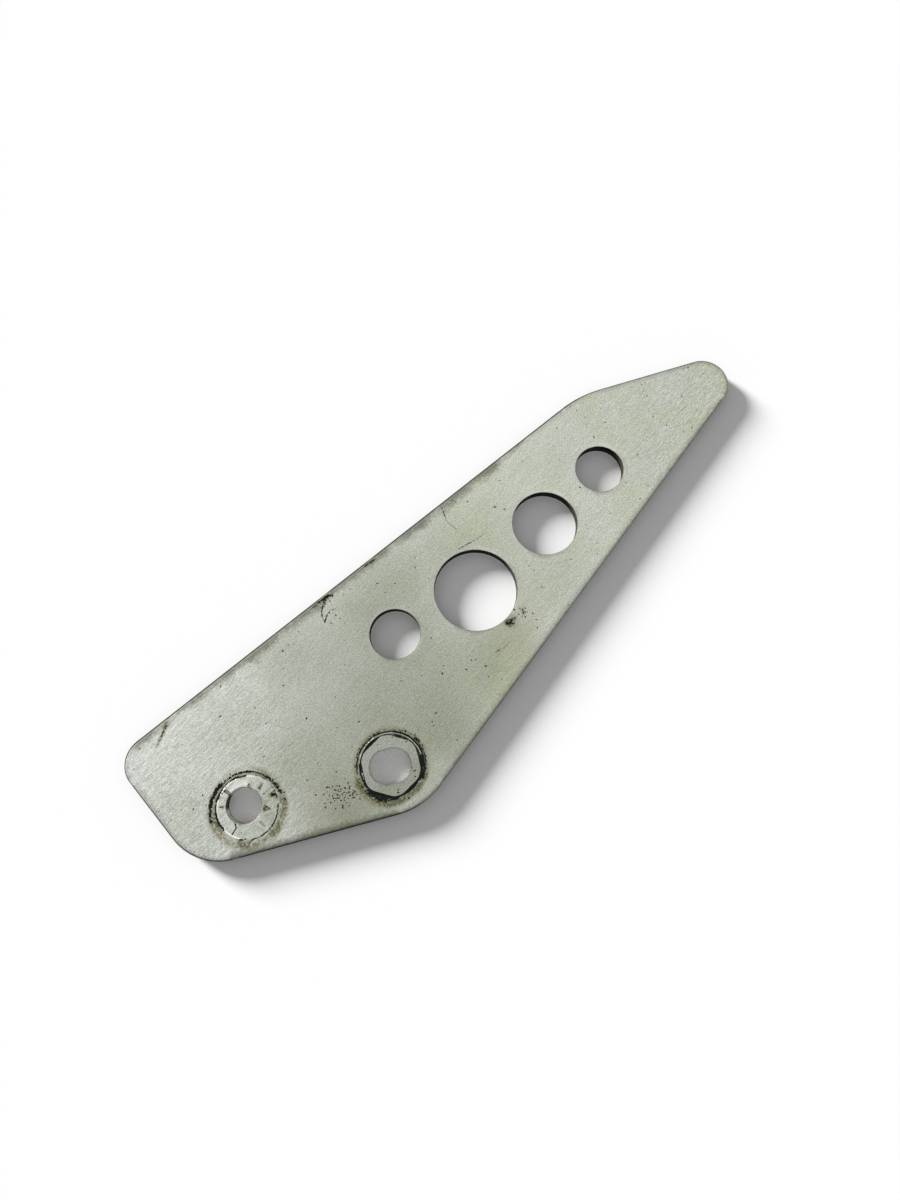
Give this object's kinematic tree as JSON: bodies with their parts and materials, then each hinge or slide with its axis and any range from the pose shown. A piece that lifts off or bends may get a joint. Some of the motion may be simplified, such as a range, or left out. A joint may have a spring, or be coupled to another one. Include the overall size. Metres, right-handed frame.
{
  "type": "motorcycle heel guard",
  "caption": "Flat metal heel guard for a motorcycle foot rest: long wedge with rounded corners, bolt holes at its wide end and a row of lightening holes towards the tip.",
  "frame": {"origin": "on the back face, midway between the two bolt holes", "axes": "+X along the bolt line from the round hole to the slotted one, +Y towards the long top edge, +Z out of the visible face"},
  "size_m": [0.1663, 0.0903, 0.003],
  "materials": {
    "brushed_aluminium": "bare sanded aluminium with a fine slanting grain, slightly olive with age, darker at the edges and stained round the bolt holes"
  },
  "bodies": {
    "root": {"heel_plate": "brushed_aluminium"}
  },
  "joints": []
}
